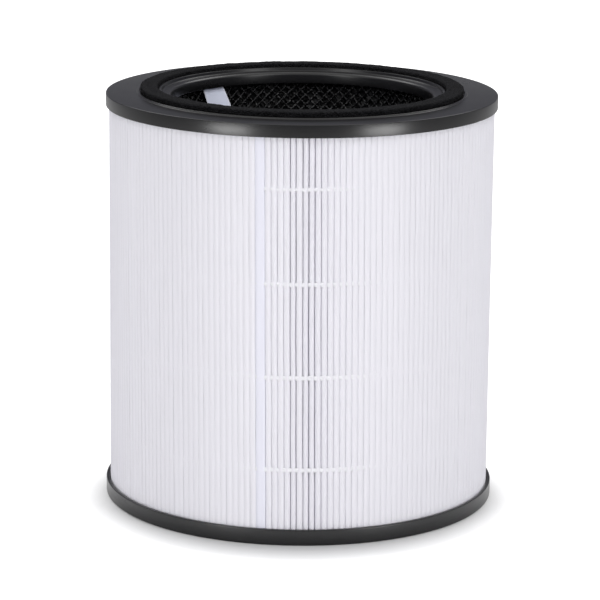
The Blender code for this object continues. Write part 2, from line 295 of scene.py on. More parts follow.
def around(radii, heights, angles):
    """Points at the given radii, heights and angles about the Z axis."""
    radii, heights, angles = np.broadcast_arrays(radii, heights, angles)
    return np.stack((radii * np.cos(angles), radii * np.sin(angles), heights), axis=-1)


def even_angles(steps):
    """One row of angles, at even steps round the axis."""
    return 2 * math.pi * np.arange(steps)[None] / steps


def turned(outline, steps):
    """One grid of points: the outline's points down the rows, each carried round the axis in its row."""
    return around(outline[:, :1], outline[:, 1:], even_angles(steps))[None]


def ring_noise(generator, rows, columns, row_size, column_size):
    """Noise on a grid that closes both ways, from -1 to 1 at three times its spread.

    White noise is smoothed by multiplying its Fourier transform with a Gaussian. The lumps' sizes are
    given in rows and columns.
    """
    spectrum = np.fft.fft2(generator.standard_normal((rows, columns)))
    up, along = np.fft.fftfreq(rows)[:, None], np.fft.fftfreq(columns)[None]
    fade = np.exp(-20.0 * ((up * row_size) ** 2 + (along * column_size) ** 2))  # 20 is about 2 pi squared
    smooth = np.fft.ifft2(spectrum * fade).real
    return np.clip(smooth / (3.0 * smooth.std()), -1.0, 1.0)


# Materials


class Signal:
    """A socket that carries a value or a colour. Arithmetic on values adds Math nodes."""

    def __init__(self, paint, socket):
        self.paint = paint
        self.socket = socket

    def _math(self, operation, *values):
        return self.paint.node("ShaderNodeMath", {"operation": operation}, dict(enumerate(values)))

    def __add__(self, other):
        return self._math("ADD", self, other)

    __radd__ = __add__

    def __sub__(self, other):
        return self._math("SUBTRACT", self, other)

    def __rsub__(self, other):
        return self._math("SUBTRACT", other, self)

    def __mul__(self, other):
        return self._math("MULTIPLY", self, other)

    __rmul__ = __mul__

    def maximum(self, other):
        return self._math("MAXIMUM", self, other)

    def absolute(self):
        return self._math("ABSOLUTE", self)

    def wave(self, spacing):
        """Sine wave of the value, from 0 to 1."""
        return self._math("SINE", self * (2 * math.pi / spacing)) * 0.5 + 0.5


class Paint:
    """A material with its Principled BSDF and the nodes that feed it."""

    def __init__(self, name):
        self.material = bpy.data.materials.new(name)
        self.material.use_nodes = True
        self.tree = self.material.node_tree
        self.shader = self.tree.nodes["Principled BSDF"]

    @classmethod
    def of(cls, world):
        """The same for a world's nodes, which have no Principled BSDF."""
        paint = cls.__new__(cls)
        paint.tree = world.node_tree
        return paint

    def node(self, kind, settings=None, inputs=None, output=0):
        """Add a node: its settings first, then the values or links of its sockets. Returns one output."""
        made = self.tree.nodes.new(kind)
        for key, value in (settings or {}).items():
            setattr(made, key, value)
        for key, value in (inputs or {}).items():
            self.feed(open_socket(made.inputs, key), value)
        return Signal(self, open_socket(made.outputs, output))

    def feed(self, socket, value):
        """Link a signal to a socket, or set the socket's own value."""
        if isinstance(value, Signal):
            self.tree.links.new(value.socket, socket)
        else:
            socket.default_value = value

    def shade(self, **inputs):
        """Set or link the shader's sockets, named with underscores for spaces."""
        for key, value in inputs.items():
            self.feed(self.shader.inputs[key.replace("_", " ")], value)

    def place(self):
        """Object coordinates, in metres."""
        return self.node("ShaderNodeTexCoord", output="Object")

    def noise(self, grain, detail=2.0, roughness=0.5, upright=1.0):
        """Noise from 0 to 1 whose lumps are about one grain across, and upright times that high."""
        flattened = {"Vector": self.place(), "Scale": (1.0, 1.0, 1.0 / upright)}
        place = self.node("ShaderNodeMapping", inputs=flattened)
        return self.node(
            "ShaderNodeTexNoise",
            inputs={"Vector": place, "Scale": 1.0 / grain, "Detail": detail, "Roughness": roughness},
        )

    def mix(self, factor, first, second):
        """Colour between first and second, four numbers each."""
        return self.node(
            "ShaderNodeMix", {"data_type": "RGBA"}, {"Factor": factor, "A": first, "B": second}, "Result"
        )

    def step(self, value, low, high, first=0.0, last=1.0):
        """Smooth step from first to last, as the value goes from low to high."""
        return self.node(
            "ShaderNodeMapRange",
            {"interpolation_type": "SMOOTHSTEP"},
            {"Value": value, "From Min": low, "From Max": high, "To Min": first, "To Max": last},
        )

    def axis(self, vector, name):
        """One part of a vector: X, Y or Z."""
        return self.node("ShaderNodeSeparateXYZ", inputs={0: vector}, output=name)

    def distance(self, vector):
        """Length of a vector."""
        return self.node("ShaderNodeVectorMath", {"operation": "LENGTH"}, {0: vector}, "Value")

    def bump(self, height, distance, strength=1.0):
        """Normal for a height from 0 to 1 that stands for the distance."""
        values = {"Height": height, "Distance": distance, "Strength": strength}
        return self.node("ShaderNodeBump", inputs=values)


def open_socket(sockets, key):
    """The socket at that place, or the one of that name that the node's settings leave in use."""
    if isinstance(key, int):
        return sockets[key]
    return next(socket for socket in sockets if socket.name == key and socket.enabled)


def rgba(shade, factor=1.0):
    """A colour's three numbers times the factor, and full alpha."""
    return (*(min(1.0, part * factor) for part in shade), 1.0)


def paint_plastic(name, shade, roughness, specular):
    """Black satin moulding: fine grain, slow changes of gloss, and faint handling marks.

    Each noise averages a half, so together they add 0.06 to the roughness, which is taken off again.
    """
    paint = Paint(name)
    slow = paint.noise(grain=0.030, detail=3.0)
    fine = paint.noise(grain=0.0005, detail=3.0)
    marks = paint.noise(grain=0.006, detail=4.0, roughness=0.7, upright=1 / 6)
    paint.shade(
        Base_Color=paint.mix(slow, rgba(shade, 0.85), rgba(shade, 1.15)),
        Roughness=roughness - 0.06 + 0.06 * slow + 0.04 * marks + 0.02 * fine,
        Specular_IOR_Level=specular,
        Normal=paint.bump(fine, distance=0.00002, strength=0.35),
    )
    return paint.material


def paint_foam(shade):
    """Open-cell foam: half-millimetre pits under a soft matt skin, with painted shade in the pits and
    painted highlights on the lumps.
    """
    paint = Paint("black_foam")
    cells = {"Vector": paint.place(), "Scale": 1600.0}
    pits = paint.node("ShaderNodeTexVoronoi", {"feature": "F1"}, cells)
    lumps = paint.noise(grain=0.0012, detail=3.0, roughness=0.6)
    skin = pits * 0.7 + lumps * 0.6
    paint.shade(
        # Painted shade and highlight: the colour follows the relief, dark in the pits and light on the
        # lumps.
        Base_Color=paint.mix(skin * 4.0 - 1.8, rgba(shade, 0.1), rgba(shade, 4.4)),
        Roughness=0.9 + 0.1 * lumps,
        Specular_IOR_Level=0.12,
        Normal=paint.bump(skin, distance=0.0010),
    )
    return paint.material


def paint_paper(media):
    """Filter sheet: short pressed fibres, drawn out along the pleats, and faint clouds.

    The seam attribute is 1 on the flat seam pleat, whose joined layers look a little bluer.
    """
    paint = Paint("white_media")
    fibres = paint.noise(grain=0.00035, detail=4.0, roughness=0.65, upright=1 / 0.35)
    clouds = paint.noise(grain=0.012, upright=5.0)
    seam = paint.node("ShaderNodeAttribute", {"attribute_name": "seam"}, output="Fac")
    body = paint.mix(0.6 * fibres + 0.4 * clouds, rgba(media.paper, 0.965), rgba(media.paper, 1.03))
    paint.shade(
        Base_Color=paint.mix(seam, body, rgba(media.seam)),
        Roughness=0.82 + 0.14 * fibres,
        Specular_IOR_Level=0.25,
        Normal=paint.bump(fibres, distance=0.00006, strength=0.5),
    )
    return paint.material


def paint_glue(name, shade, roughness):
    """Set glue: slightly wavy, with cloudy and clearer places."""
    paint = Paint(name)
    waves = paint.noise(grain=0.0022)
    clouds = paint.noise(grain=0.007, detail=3.0)
    paint.shade(
        Base_Color=paint.mix(clouds, rgba(shade, 0.95), rgba(shade, 1.04)),
        Roughness=roughness + 0.15 * waves,
        Normal=paint.bump(waves, distance=0.00025, strength=0.5),
    )
    return paint.material


def paint_net(shade):
    """Drawn plastic strands, smooth with faint ripples across them."""
    paint = Paint("black_net")
    ripples = paint.noise(grain=0.0018, detail=3.0)
    paint.shade(
        Base_Color=paint.mix(ripples, rgba(shade, 0.8), rgba(shade, 1.3)),
        Roughness=0.08 + 0.22 * ripples,
        Specular_IOR_Level=0.8,
        Normal=paint.bump(ripples, distance=0.0018),
    )
    return paint.material


def paint_carbon(shade):
    """Broken carbon: dull black with brighter fracture faces and fine pores."""
    paint = Paint("carbon")
    patches = paint.noise(grain=0.0025)
    pores = paint.noise(grain=0.0004, detail=3.0, roughness=0.7)
    paint.shade(
        Base_Color=paint.mix(pores, rgba(shade, 0.5), rgba(shade, 1.8)),
        Roughness=0.30 + 0.45 * patches,
        Specular_IOR_Level=0.5,
        Normal=paint.bump(pores, distance=0.00015, strength=0.6),
    )
    return paint.material


def paint_cloth(name, shade):
    """Bonded cloth: crossed fibres with a soft, matt face."""
    paint = Paint(name)
    fibres = paint.noise(grain=0.0006, detail=4.0, roughness=0.7, upright=1 / 3)
    paint.shade(
        Base_Color=paint.mix(fibres, rgba(shade, 0.85), rgba(shade, 1.1)),
        Roughness=0.9 + 0.1 * fibres,
        Specular_IOR_Level=0.2,
        Normal=paint.bump(fibres, distance=0.0001, strength=0.7),
    )
    return paint.material


WEFT_PITCH, WARP_PITCH = 0.0005, 0.00034  # of the ribbon's ribs and threads, in metres


def paint_ribbon(settings):
    """Woven ribbon: weft ribs across, warp threads along, and a tighter, brighter selvedge.

    The flat attribute holds the place on the ribbon before it was bent: metres from its middle, and metres
    along it.
    """
    paint = Paint("ribbon")
    flat = paint.node("ShaderNodeAttribute", {"attribute_name": "flat"}, output="Vector")
    across, along = paint.axis(flat, "X"), paint.axis(flat, "Y")
    weft, warp = along.wave(WEFT_PITCH), across.wave(WARP_PITCH)
    edge = paint.step(across.absolute(), settings.width * 0.40, settings.width * 0.46)
    threads = weft * 0.6 + warp * 0.4
    body = paint.mix(threads, rgba(settings.weave, 0.9), rgba(settings.weave, 1.06))
    paint.shade(
        Base_Color=paint.mix(edge, body, rgba(settings.selvedge)),
        Roughness=0.62 - 0.12 * threads,
        Specular_IOR_Level=0.4,
        Normal=paint.bump(threads, distance=0.00009, strength=0.7),
    )
    return paint.material


# Pieces


# Details of the two caps' sections, in metres
OUTER_RIM_WIDTH, OUTER_RIM_RISE = 0.0011, 0.0007
INNER_RIM_WIDTH, INNER_RIM_RISE = 0.0013, 0.0014
RIM_SLOPE = 0.0006  # how far the rims' outward sides lean
LEDGE_DROP, LEDGE_RISE = 0.0007, 0.0004  # from the face down to the ledge, and up it to the inner rim
COLLAR_FLARE, COLLAR_LIFT = 0.0008, 0.0003  # how far its top widens, and its lower edge stands up
UPSTAND = 0.0033  # of the bottom cap's collar, above the media's lower end
PANEL_TOP, PANEL_UNDERSIDE = 0.0032, 0.0012
PANEL_INSET, PANEL_SLOPE = 0.0025, 0.001
PANEL_MIDDLE = 0.004  # radius of the disc that closes the panel


def top_cap_outline(caps):
    """Section of the top cap: skirt, face, gasket seat between two rims, ledge and collar."""
    top, low = caps.face, caps.skirt_bottom
    ledge = top - LEDGE_DROP
    rim, inner_rim = caps.seat_outer + OUTER_RIM_WIDTH, caps.seat_inner - INNER_RIM_WIDTH
    inside = caps.radius - caps.wall
    return rounded(
        [
            (caps.radius, top, 0.0005),
            (caps.radius, low, 0.0002),
            (inside, low, 0.0002),
            (inside, top - caps.plate, 0.0004),
            (caps.channel, ledge - caps.plate, 0.0003),
            (caps.channel, low + COLLAR_LIFT, 0.0002),
            (caps.bore, low + COLLAR_LIFT, 0.0002),
            (caps.bore + COLLAR_FLARE, ledge, 0.0020),
            (inner_rim - RIM_SLOPE, ledge + LEDGE_RISE, 0.0006),
            (inner_rim, top + INNER_RIM_RISE, 0.0003),
            (caps.seat_inner, top + INNER_RIM_RISE, 0.0003),
            (caps.seat_inner, top, 0.0001),
            (caps.seat_outer, top, 0.0001),
            (caps.seat_outer, top + OUTER_RIM_RISE, 0.0002),
            (rim, top + OUTER_RIM_RISE, 0.0003),
            (rim + RIM_SLOPE, top, 0.0002),
        ]
    )


def base_cap_outline(caps):
    """Section of the bottom cap, from its panel's top round to its underside, open at the middle."""
    inside = caps.radius - caps.wall
    upstand = MEDIA.bottom + UPSTAND
    panel = caps.bore - PANEL_INSET
    return rounded(
        [
            (PANEL_MIDDLE, PANEL_TOP, 0.0),
            (caps.bore, PANEL_TOP, 0.0005),
            (caps.bore, upstand, 0.0002),
            (caps.channel, upstand, 0.0002),
            (caps.channel, caps.base_floor, 0.0003),
            (inside, caps.base_floor, 0.0004),
            (inside, caps.base_wall_top, 0.0003),
            (caps.base_radius, caps.base_wall_top, 0.0005),
            (caps.base_radius, 0.0, 0.0012),
            (panel + PANEL_SLOPE, 0.0, 0.0003),
            (panel, PANEL_UNDERSIDE, 0.0003),
            (PANEL_MIDDLE, PANEL_UNDERSIDE, 0.0),
        ]
    )


class FILTER_OT_end_caps(bpy.types.Operator):
    """Turn both black moulded end caps"""

    bl_idname = "filter.end_caps"
    bl_label = "End caps"

    def execute(self, context):
        caps = context.scene.air_filter.caps
        plastic = paint_plastic("black_plastic", caps.plastic, caps.roughness, caps.specular)
        top = add_surface("top_cap", turned(top_cap_outline(caps), caps.steps), sharp_degrees=50.0)
        finish_piece(top, plastic, "black_plastic", "top_end_cap")
        section = turned(base_cap_outline(caps), caps.steps)
        base = add_surface("base_cap", section, close_rows=False, end_faces=True, sharp_degrees=50.0)
        finish_piece(base, plastic, "black_plastic", "bottom_end_cap")
        return {"FINISHED"}


def even_outline(outline, count):
    """The same closed outline with its points at even steps along it."""
    closed = np.vstack((outline, outline[:1]))
    run = np.concatenate(([0.0], np.cumsum(np.linalg.norm(np.diff(closed, axis=0), axis=1))))
    wanted = run[-1] * np.arange(count) / count
    return np.stack([np.interp(wanted, run, closed[:, axis]) for axis in range(2)], axis=1)


GASKET_POINTS = 44  # round the gasket's section
FOAM_GRAIN, FOAM_LUMPS = 0.75, 0.6  # how much of the fuzz each makes up


def foam_ring(gasket):
    """One grid of points: the gasket's section, carried round the axis, with a lumpy skin.

    The top sinks by the crown times the square of the share of the way from its middle to its edge. Then
    each point goes out along the ray from the section's middle, by fine grain and broad lumps.
    """
    low, high = GASKET.bottom, GASKET.top
    corners = [
        (gasket.outer, high, 0.0009),
        (gasket.outer, low, 0.0004),
        (gasket.inner, low, 0.0004),
        (gasket.inner, high, 0.0009),
    ]
    outline = even_outline(rounded(corners, arc_steps=4), GASKET_POINTS)
    middle = (gasket.inner + gasket.outer) / 2
    half = (gasket.outer - gasket.inner) / 2
    upper = np.clip((outline[:, 1] - low) / (high - low), 0.0, 1.0)
    outline[:, 1] -= gasket.crown * upper * ((outline[:, 0] - middle) / half) ** 2
    generator = np.random.default_rng(gasket.seed)
    grain = ring_noise(generator, GASKET_POINTS, gasket.steps, row_size=1.2, column_size=1.6)
    lumps = ring_noise(generator, GASKET_POINTS, gasket.steps, row_size=4.0, column_size=9.0)
    out = outline - np.array((middle, (low + high) / 2))
    out /= np.linalg.norm(out, axis=1, keepdims=True)
    push = gasket.fuzz * (FOAM_GRAIN * grain + FOAM_LUMPS * lumps - FOAM_LUMPS)
    radii = outline[:, :1] + out[:, :1] * push
    heights = np.maximum(outline[:, 1:] + out[:, 1:] * push, low)
    return around(radii, heights, even_angles(gasket.steps))[None]


class FILTER_OT_gasket(bpy.types.Operator):
    """Lay the fuzzy foam ring on its seat"""

    bl_idname = "filter.gasket"
    bl_label = "Gasket"

    def execute(self, context):
        gasket = context.scene.air_filter.gasket
        piece = add_surface("foam_gasket", foam_ring(gasket), sharp_degrees=180.0)
        finish_piece(piece, paint_foam(gasket.foam), "black_foam", "seal_gasket")
        return {"FINISHED"}


# Half of a pleat's section, from its middle to the groove: share of the half pitch, depth where the
# grooves are closed, and depth where they gape, in metres. The last row goes down to the whole depth.
PLEAT_SECTION = (
    (0.0, 0.0, 0.0),
    (0.26, 0.00003, 0.00012),
    (0.54, 0.00011, 0.0007),
    (0.965, 0.00022, 0.0023),
    (0.992, 0.0, 0.0),
)
GROOVE_COLUMNS = 2  # columns at each side of a pleat that stand at its groove
GAPING_AT = np.radians((-87.5, 15.0, 118.0))  # where the grooves gape, from +X
FOLD_GAP = 0.00002  # the least distance between two folds
SPANS = len(BEADS) + 1  # between the lower end, the beads and the upper end
INNER_ROWS = 14  # rows of points up the sheet's inner face
MOVES_LEFT = (0.5, 0.3)  # shares of a tip's sideways move and of its sinking where the grooves are closed


def pleat_columns(media):
    """Angles of the pleats' middles, and each column's offset, extra offset at the seam, and two depths."""
    extra = (media.seam_width - media.tip_width) / MEDIA.radius
    pitch = (2 * math.pi - extra) / media.pleats
    place = np.arange(media.pleats)
    middles = media.seam_angle + pitch * place + extra / 2 * (place > 0)
    half = np.array(PLEAT_SECTION)
    half[:, 0] *= pitch / 2
    half[-1, 1:] = media.depth
    section = np.vstack((half[:0:-1] * (-1.0, 1.0, 1.0), half))
    seam = np.sign(section[:, 0]) * extra / 2
    return middles, section[:, 0], seam, section[:, 1:].T


def spans_between_beads(heights):
    """For each height, the number of its span between two beads, and how far up that span it lies."""
    marks = np.array([MEDIA.bottom] + [(bead.bottom + bead.top) / 2 for bead in BEADS] + [MEDIA.top])
    span = np.clip(np.searchsorted(marks, heights, side="right") - 1, 0, SPANS - 1)
    return span, (heights - marks[span]) / (marks[span + 1] - marks[span])


def tip_moves(media, heights, gape, generator):
    """How far each pleat's tip stands to the side and sunk in at each height, rows by pleats.

    Between two beads the tips stand to the side by half a sine wave, neighbours together and each a
    little by itself, and by a whole wave of half the size. Some stand lower, most so half-way between two
    beads. Both moves are largest where the grooves gape.
    """
    span, up = spans_between_beads(heights)
    together = ring_noise(generator, SPANS, media.pleats, 0.5, 5.0) * media.wander
    alone = ring_noise(generator, SPANS, media.pleats, 0.2, 0.3) * media.wobble
    bent = ring_noise(generator, SPANS, media.pleats, 0.5, 4.0) * media.wander * 0.5
    lower = np.abs(ring_noise(generator, SPANS, media.pleats, 1.0, 0.5)) * media.unevenness
    half_wave = np.sin(math.pi * up)[:, None]
    whole_wave = np.sin(2 * math.pi * up)[:, None]
    sideways = (together + alone)[span] * half_wave + bent[span] * whole_wave
    sink = lower[span] * half_wave + lower[0]
    sway, drop = (left + (1 - left) * gape for left in MOVES_LEFT)
    return sideways * sway, sink * drop


def folded_sheet(media, heights):
    """Section of the pleated sheet at each height: radii and angles, rows by columns.

    A column's angle is its pleat's middle plus its offset, and the tip's move fades out towards the fold.
    Towards the bottom the whole ring is turned a little, and the folds swing to the side. The grooves are
    all but closed, and gape in a few places by a bell curve of the angle, each groove by its own share.
    Where two folds would cross, each yields half.
    """
    middles, offsets, seam, (closed, gaping) = pleat_columns(media)
    generator = np.random.default_rng(media.seed)
    away = np.angle(np.exp(1j * (middles[:, None] - GAPING_AT))) / media.gape_width
    gape = (np.exp(-(away**2)).sum(axis=1) * generator.uniform(0.35, 1.0, media.pleats))[:, None]
    at_groove = np.zeros(len(offsets), bool)
    at_groove[:GROOVE_COLUMNS] = at_groove[-GROOVE_COLUMNS:] = True
    offsets = offsets[None] * (1.0 - media.gape * gape * at_groove)
    depths = closed + (gaping - closed) * gape
    sideways, sink = tip_moves(media, heights, gape[:, 0], generator)
    deep = (depths / media.depth)[None]
    tip = 1.0 - deep
    fall = 1.0 - (heights - MEDIA.bottom) / (MEDIA.top - MEDIA.bottom)
    lean = -media.lean / (MEDIA.radius - media.depth) * fall
    angles = (
        middles[None, :, None]
        + offsets[None]
        + np.where(np.arange(media.pleats)[None, :, None] == 0, seam[None, None], 0.0)
        + sideways[:, :, None] / MEDIA.radius * tip
        + lean[:, None, None] * deep
        + (media.turn * fall)[:, None, None]
    )
    after = np.roll(angles[..., :GROOVE_COLUMNS], -1, axis=1)
    after[:, -1] += 2 * math.pi
    room = after[..., ::-1] - angles[..., -GROOVE_COLUMNS:]
    crossed = np.maximum(0.0, FOLD_GAP / MEDIA.radius - room) / 2
    angles[..., -GROOVE_COLUMNS:] -= crossed
    angles[..., :GROOVE_COLUMNS] += np.roll(crossed, 1, axis=1)[..., ::-1]
    radii = MEDIA.radius - depths[None] - sink[:, :, None] * tip
    return radii.reshape(len(heights), -1), angles.reshape(len(heights), -1)


def inner_face(radii, angles, thickness):
    """The sheet's other face: each point moved inwards along its section's normal by the thickness."""
    x, y = radii * np.cos(angles), radii * np.sin(angles)
    along_x, along_y = (np.roll(part, -1, axis=1) - np.roll(part, 1, axis=1) for part in (x, y))
    run = np.hypot(along_x, along_y)
    return x - thickness * along_y / run, y + thickness * along_x / run


class FILTER_OT_pleated_media(bpy.types.Operator):
    """Fold the white sheet round the core as one ring of pleats with a flat seam pleat"""

    bl_idname = "filter.pleated_media"
    bl_label = "Pleated media"

    def execute(self, context):
        media = context.scene.air_filter.media
        heights = np.linspace(MEDIA.bottom, MEDIA.top, media.rows)
        radii, angles = folded_sheet(media, heights)
        outside = around(radii, heights[:, None], angles)
        heights = np.linspace(MEDIA.top, MEDIA.bottom, INNER_ROWS)
        x, y = inner_face(*folded_sheet(media, heights), media.sheet)
        inside = np.stack((x, y, np.broadcast_to(heights[:, None], x.shape)), axis=-1)
        piece = add_surface("pleated_sheet", np.concatenate((outside, inside))[None], sharp_degrees=40.0)
        seam = piece.data.attributes.new("seam", "FLOAT", "POINT")
        columns = radii.shape[1] // media.pleats
        on_seam = np.zeros((2, radii.shape[1]), np.float32)
        on_seam[0, 1 : columns - 1] = 1.0
        seam.data.foreach_set("value", np.repeat(on_seam, (media.rows, INNER_ROWS), axis=0).ravel())
        finish_piece(piece, paint_paper(media), "white_media", "pleated_media")
        return {"FINISHED"}


# Half of a bead's section, from its lower to its upper edge: share of its half height and of its depth
BEAD_SECTION = np.array(
    ((-1.0, 0.0), (-0.92, 0.55), (-0.55, 0.9), (0.0, 1.0), (0.55, 0.9), (0.92, 0.55), (1.0, 0.0))
)
BEAD_PLACES = np.array((0.0, 0.45, 0.75, 1.0, 1.25, 1.55))  # of its points: 0 is a tip and 1 the groove
BEAD_BACK = 0.0006  # how far a bead's back lies under the tips
BEAD_SWELL = 0.12  # the most by which its height grows or shrinks, as a share of it
DRIFT_SIZE, SWELL_SIZE = 90.0, 8.0  # sizes of the drift's and the swell's waves, in points


def bead_course(media, beads):
    """Angles round a bead, and the radii of its face and its back there.

    The share in the groove rises in a straight line from half-way to the groove, and falls after it. The
    face sinks by that share, and the back goes deeper by twice that share, up to the whole tooth.
    """
    middles = pleat_columns(media)[0]
    after = np.roll(middles, -1) + 2 * math.pi * (np.arange(media.pleats) == media.pleats - 1)
    half = ((middles + after) / 2 - middles)[:, None]
    angles = (middles[:, None] + half * BEAD_PLACES).ravel()
    in_groove = np.tile(1.0 - np.clip(np.abs(BEAD_PLACES - 1.0) / 0.5, 0.0, 1.0), media.pleats)
    face = MEDIA.radius - beads.under_tip - (beads.in_groove - beads.under_tip) * in_groove
    back = MEDIA.radius - BEAD_BACK - beads.tooth * np.minimum(1.0, 2.0 * in_groove)
    return angles, face, back


class FILTER_OT_glue_beads(bpy.types.Operator):
    """Run the four hot-melt lines round the tips, with a tooth of glue in each groove"""

    bl_idname = "filter.glue_beads"
    bl_label = "Glue beads"

    def execute(self, context):
        media, beads = context.scene.air_filter.media, context.scene.air_filter.beads
        paint = paint_glue("hot_melt", beads.glue, roughness=0.38)
        angles, face, back = bead_course(media, beads)
        radii = back + (face - back) * BEAD_SECTION[:, 1:]
        generator = np.random.default_rng(beads.seed)
        for place, bead in enumerate(BEADS, start=1):
            drift = ring_noise(generator, 3, len(angles), 1.0, DRIFT_SIZE)[0] * beads.drift
            swell = 1.0 + BEAD_SWELL * ring_noise(generator, 3, len(angles), 1.0, SWELL_SIZE)[0]
            middle = (bead.bottom + bead.top) / 2 + drift
            heights = middle + BEAD_SECTION[:, :1] * beads.half_height * swell
            piece = add_surface(f"glue_line_{place}", around(radii, heights, angles[None])[None])
            finish_piece(piece, paint, "hot_melt", f"glue_bead_{place}")
        return {"FINISHED"}


NET_ROWS = 49  # points along a strand
NET_INSET = 0.00045  # from the net's outer radius to its middle
LAYER_OFFSET = 0.36  # from the net's middle to each layer's, in strand depths
CORNERS = np.array([[(x, y, z) for x, y in ((-1, -1), (1, -1), (1, 1), (-1, 1))] for z in (-1, 1)], float)
BED_INSIDE = NET.radius + 0.0001
BED_MIDDLE = BED_INSIDE + 0.0018  # radius of the grains' middles
GRAIN_DEPTHS = (-0.0003, 0.0006)  # how far the grains' middles stand off it
GRAIN_ROW, GRAIN_SIZES = 0.93, (0.75, 1.15)  # height of a row of grains, and their sizes, in mean sizes
GRAIN_JITTER = 0.3  # of a grain's corners, in half sizes, and of its place, in steps of the lattice
BACKING_ROWS, BACKING_STEPS = 60, 360
BACKING_DEPTH, BACKING_LUMPS = 0.0002, 0.0004  # of the wall, behind the grains' middles


def crossed_strands(core):
    """Two layers of strands that cross: each climbs at 45 degrees, one layer to each side.

    A strand's section is a flattened ring of six points, across the strand and through its thickness.
    """
    heights = np.linspace(NET.bottom, NET.top, NET_ROWS)
    section = 2 * math.pi * (np.arange(6) + 0.5) / 6
    across = core.strand_width / 2 * np.cos(section)
    through = core.strand_depth / 2 * np.sin(section)
    slope = math.sqrt(0.5)
    grids = []
    for side in (-1.0, 1.0):
        radius = NET.radius - NET_INSET + side * core.strand_depth * LAYER_OFFSET
        starts = 2 * math.pi * (np.arange(core.strands) + 0.25 * (1 + side)) / core.strands
        climb = side * (heights - NET.bottom) / radius
        angles = starts[:, None, None] + climb[None, :, None] + across * slope / radius
        up = heights[None, :, None] - side * across * slope
        grids.append(around(radius + through, np.clip(up, NET.bottom, NET.top), angles))
    return np.concatenate(grids)


def loose_grains(core, generator):
    """Grains on a jittered lattice on the bed's inside, kept within the bed.

    A grain is a box of eight corners, each moved at random, then turned at random.
    """
    tall = CARBON.top - CARBON.bottom
    rows, columns = int(tall / (GRAIN_ROW * core.grain)), int(2 * math.pi * BED_MIDDLE / core.grain)
    count = rows * columns
    jitter = GRAIN_JITTER * generator.uniform(-1.0, 1.0, (count, 2, 4, 3))
    size = core.grain * 0.5 * generator.uniform(*GRAIN_SIZES, (count, 1, 1, 3))
    grains = np.einsum("nij,nrcj->nrci", random_turns(generator, count), (CORNERS + jitter) * size)
    row, column = np.divmod(np.arange(count), columns)
    shifts = generator.uniform(-GRAIN_JITTER, GRAIN_JITTER, (2, count))
    angles = 2 * math.pi * (column + 0.5 * (row % 2) + shifts[0]) / columns
    heights = CARBON.bottom + tall * (row + 0.5 + shifts[1]) / rows
    depth = BED_MIDDLE + generator.uniform(*GRAIN_DEPTHS, count)
    grains += around(depth, heights, angles)[:, None, None]
    reach = np.hypot(grains[..., 0], grains[..., 1])
    grains[..., :2] *= (np.clip(reach, BED_INSIDE, CARBON.radius) / reach)[..., None]
    grains[..., 2] = np.clip(grains[..., 2], CARBON.bottom, CARBON.top)
    return grains


def lumpy_backing(generator):
    """One grid of points: a lumpy wall behind the grains, then the bed's plain outside."""
    lumps = ring_noise(generator, BACKING_ROWS, BACKING_STEPS, 0.6, 0.6)
    heights = np.linspace(CARBON.bottom, CARBON.top, BACKING_ROWS)
    turn = even_angles(BACKING_STEPS)
    face = around(BED_MIDDLE + BACKING_DEPTH + BACKING_LUMPS * lumps, heights[:, None], turn)
    rear = around(CARBON.radius, heights[[-1, 0], None], turn)
    return np.concatenate((face, rear))[None]


class FILTER_OT_core(bpy.types.Operator):
    """Build the net and the carbon behind it, and finish the sleeve and the glue that hold them"""

    bl_idname = "filter.core"
    bl_label = "Core"

    def execute(self, context):
        core = context.scene.air_filter.core
        closed = {"close_rows": False, "end_faces": True}
        net = add_surface("bore_net", crossed_strands(core), **closed, sharp_degrees=80.0)
        finish_piece(net, paint_net(core.net), "black_net", "inner_net")
        generator = np.random.default_rng(core.seed)
        carbon = paint_carbon(core.carbon)
        grains = add_surface("carbon_grains", loose_grains(core, generator), **closed, sharp_degrees=20.0)
        finish_piece(grains, carbon, "carbon", "carbon_bed")
        backing = add_surface("carbon_backing", lumpy_backing(generator), sharp_degrees=60.0)
        finish_piece(backing, carbon, "carbon")
        cloth = paint_cloth("white_cloth", core.cloth)
        potting = paint_glue("potting_glue", core.potting, roughness=0.35)
        for node, paint in (("carbon_sleeve", cloth), ("top_glue", potting), ("bottom_glue", potting)):
            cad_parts[node].data.materials.clear()
            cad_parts[node].data.materials.append(paint)
        return {"FINISHED"}


def random_turns(generator, count):
    """Rotation matrices from random unit quaternions: one, plus 2wK, plus twice K squared.

    w is the quaternion's real part, and K the matrix that takes the cross product with the rest of it.
    """
    q = generator.standard_normal((count, 4))
    q /= np.linalg.norm(q, axis=1, keepdims=True)
    cross = np.cross(np.eye(3), q[:, None, 1:])
    return np.eye(3) + 2 * q[:, :1, None] * cross + 2 * cross @ cross


def ribbon_middle(ribbon, along, across):
    """Points on the ribbon's middle plane, for metres along it and metres across it.

    It goes straight down where the collar holds it. Below, it leaves the wall at the lean's angle and
    bends back in an arc of a circle, until it hangs straight at its end. It turns by the twist on the way.
    """
    free = ribbon.length - ribbon.tuck
    gone = np.maximum(0.0, along - ribbon.tuck) / free
    slope = ribbon.lean * (1.0 - gone)
    inward = free / ribbon.lean * (np.cos(slope) - math.cos(ribbon.lean))
    down = np.minimum(along, ribbon.tuck) + free / ribbon.lean * (math.sin(ribbon.lean) - np.sin(slope))
    blend = gone * (2.0 - gone)
    hollow = across**2 / (2 * ribbon.radius) * (1.0 - blend)
    twist = ribbon.twist * blend
    radial = ribbon.radius - inward - hollow + across * np.sin(twist)
    tangent = across * np.cos(twist)
    return np.stack(
        (
            radial * math.cos(ribbon.angle) - tangent * math.sin(ribbon.angle),
            radial * math.sin(ribbon.angle) + tangent * math.cos(ribbon.angle),
            MEDIA.top - down + 0.0 * across,
        ),
        axis=-1,
    )


